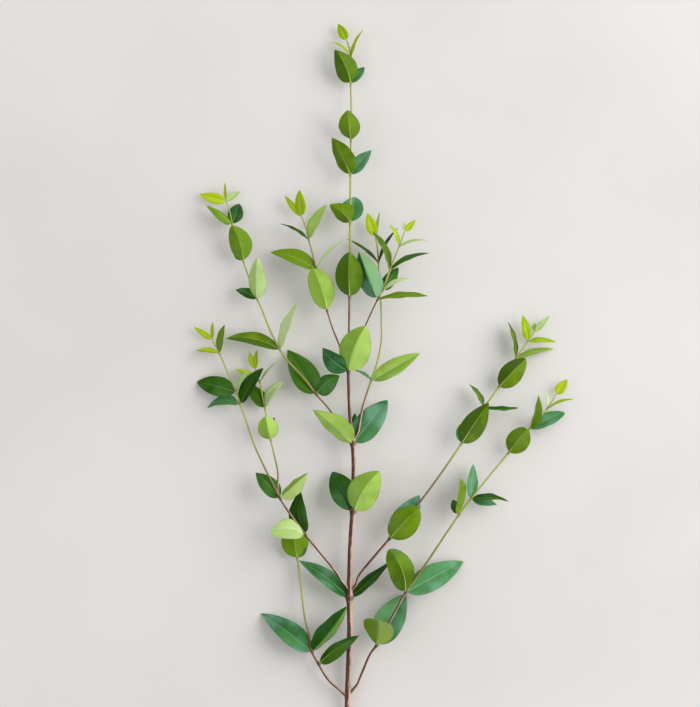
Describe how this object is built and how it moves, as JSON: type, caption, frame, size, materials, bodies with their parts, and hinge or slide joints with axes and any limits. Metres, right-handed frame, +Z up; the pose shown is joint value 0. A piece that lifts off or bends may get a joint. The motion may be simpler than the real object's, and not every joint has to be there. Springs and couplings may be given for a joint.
{
  "type": "eucalyptus branch",
  "caption": "Cut eucalyptus branch lying flat: a long woody stem with slender side shoots and pointed oval leaves in opposite pairs.",
  "frame": {"origin": "middle of the branch's bounding box on the surface it lies on", "axes": "+Y along the main stem, from the cut end to the growing tip; +X to the right of it; +Z up from the surface, towards the side that faces the viewer"},
  "size_m": [0.3828, 0.8676, 0.0592],
  "materials": {
    "bark": "satin, brown at the base, turning olive and yellow-green towards each tip",
    "leaf_dark": "satin, deep green",
    "leaf_olive": "satin, warm mid green with a paler raised midrib",
    "leaf_teal": "matt, blue-green underside",
    "leaf_light": "satin, light yellow-green",
    "leaf_pale": "matt, very pale green underside",
    "leaf_lime": "satin, yellow-green young leaf"
  },
  "bodies": {
    "root": {"main_stem": "bark", "shoot_low_left": "bark", "shoot_low_right": "bark", "shoot_2_left": "bark", "shoot_2_left_fork": "bark", "shoot_2_right": "bark", "shoot_3_left": "bark", "shoot_3_right": "bark", "shoot_4_left": "bark", "shoot_4_right": "bark", "main_pair_1": "leaf_teal", "main_pair_2": "leaf_dark", "main_trio_3": "leaf_light", "main_pair_4": "leaf_light", "main_pair_5": "leaf_olive", "main_pair_6": "leaf_olive", "main_pair_7": "leaf_olive", "main_pair_8": "leaf_olive", "main_pair_9": "leaf_olive", "main_pair_10": "leaf_lime", "low_left_leaf_0": "leaf_dark", "low_left_pair_1": "leaf_teal", "low_left_pair_2": "leaf_olive", "low_right_pair_1": "leaf_olive", "low_right_pair_2": "leaf_olive", "low_right_pair_3": "leaf_olive", "low_right_pair_4": "leaf_teal", "low_right_pair_5": "leaf_olive", "low_right_pair_6": "leaf_olive", "low_right_pair_7": "leaf_lime", "left_2_pair_1": "leaf_pale", "left_2_pair_2": "leaf_dark", "left_2_pair_3": "leaf_dark", "left_2_pair_4": "leaf_dark", "left_2_pair_5": "leaf_olive", "fork_pair_1": "leaf_light", "fork_pair_2": "leaf_dark", "fork_pair_3": "leaf_light", "right_2_pair_1": "leaf_olive", "right_2_pair_2": "leaf_olive", "right_2_pair_3": "leaf_olive", "right_2_pair_4": "leaf_olive", "right_2_pair_5": "leaf_olive", "right_2_pair_6": "leaf_lime", "left_3_pair_1": "leaf_dark", "left_3_pair_2": "leaf_olive", "left_3_pair_3": "leaf_pale", "left_3_pair_4": "leaf_olive", "left_3_pair_5": "leaf_olive", "right_3_pair_1": "leaf_light", "right_3_pair_2": "leaf_dark", "left_4_pair_1": "leaf_light", "left_4_pair_2": "leaf_olive", "left_4_pair_3": "leaf_dark", "right_4_pair_1": "leaf_teal", "right_4_pair_2": "leaf_dark", "right_4_pair_3": "leaf_olive", "right_4_pair_4": "leaf_lime"}
  },
  "joints": []
}
